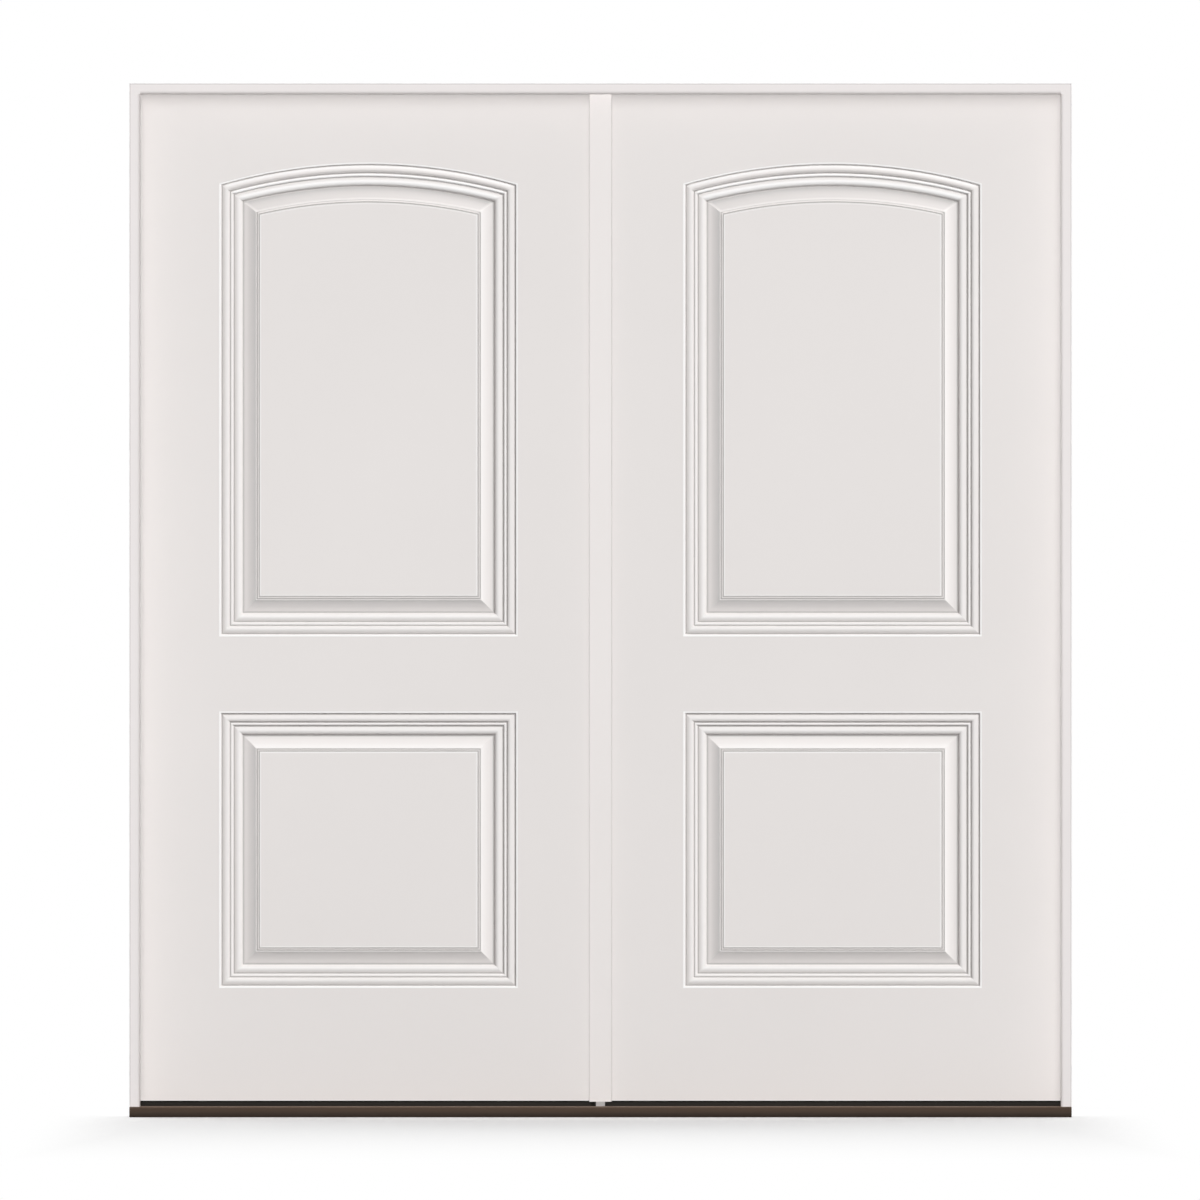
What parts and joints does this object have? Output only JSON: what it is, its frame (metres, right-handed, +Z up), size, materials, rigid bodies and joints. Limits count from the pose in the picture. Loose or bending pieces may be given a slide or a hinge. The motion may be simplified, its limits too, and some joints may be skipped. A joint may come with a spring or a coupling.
{
  "type": "double entry door",
  "caption": "Double entry door in its frame: embossed steel leaves, each with an arched panel over a square one, swing inward beside a fixed centre post on a dark metal sill.",
  "frame": {"origin": "middle of the sill's underside, half way through the frame's depth", "axes": "+X to the right seen from outside, +Y inward through the doorway, +Z up"},
  "size_m": [1.892, 0.1562, 2.076],
  "materials": {
    "frame_paint": "satin white paint",
    "post_paint": "satin white paint",
    "door_paint": "satin primer white on embossed steel",
    "bronze_sill": "dark bronze anodised",
    "sill_composite": "moulded composite",
    "threshold_plastic": "matte dark plastic",
    "seal_rubber": "soft foam-filled bulb",
    "sweep_rubber": "matte black vinyl",
    "edge_wood": "primed pine",
    "foam": "rigid foam",
    "hinge_steel": "brushed zinc-plated steel"
  },
  "bodies": {
    "frame": {"head_jamb": "frame_paint", "centre_post": "post_paint", "sill_cover": "bronze_sill", "sill_substrate": "sill_composite", "left_jamb": "frame_paint", "left_jamb_seal": "seal_rubber", "left_head_seal": "seal_rubber", "left_post_seal": "seal_rubber", "left_threshold_cap": "threshold_plastic", "left_lower_hinge_jamb_half": "hinge_steel", "left_middle_hinge_jamb_half": "hinge_steel", "left_upper_hinge_jamb_half": "hinge_steel", "right_jamb": "frame_paint", "right_jamb_seal": "seal_rubber", "right_head_seal": "seal_rubber", "right_post_seal": "seal_rubber", "right_threshold_cap": "threshold_plastic", "right_lower_hinge_jamb_half": "hinge_steel", "right_middle_hinge_jamb_half": "hinge_steel", "right_upper_hinge_jamb_half": "hinge_steel"},
    "left_leaf": {"left_outer_skin": "door_paint", "left_inner_skin": "door_paint", "left_hinge_stile": "edge_wood", "left_meeting_stile": "edge_wood", "left_top_rail": "edge_wood", "left_bottom_rail": "edge_wood", "left_foam_core": "foam", "left_sweep": "sweep_rubber", "left_lower_hinge_leaf_half": "hinge_steel", "left_middle_hinge_leaf_half": "hinge_steel", "left_upper_hinge_leaf_half": "hinge_steel"},
    "right_leaf": {"right_outer_skin": "door_paint", "right_inner_skin": "door_paint", "right_hinge_stile": "edge_wood", "right_meeting_stile": "edge_wood", "right_top_rail": "edge_wood", "right_bottom_rail": "edge_wood", "right_foam_core": "foam", "right_sweep": "sweep_rubber", "right_lower_hinge_leaf_half": "hinge_steel", "right_middle_hinge_leaf_half": "hinge_steel", "right_upper_hinge_leaf_half": "hinge_steel"}
  },
  "joints": [
    {"name": "left_leaf_swing", "type": "hinge", "parent": "frame", "child": "left_leaf", "pos_m": [-0.9335, 0.06485, 1], "axis": [0, 0, 1], "range_deg": [0, 110]},
    {"name": "right_leaf_swing", "type": "hinge", "parent": "frame", "child": "right_leaf", "pos_m": [0.9335, 0.06485, 1], "axis": [0, 0, -1], "range_deg": [0, 110]}
  ]
}
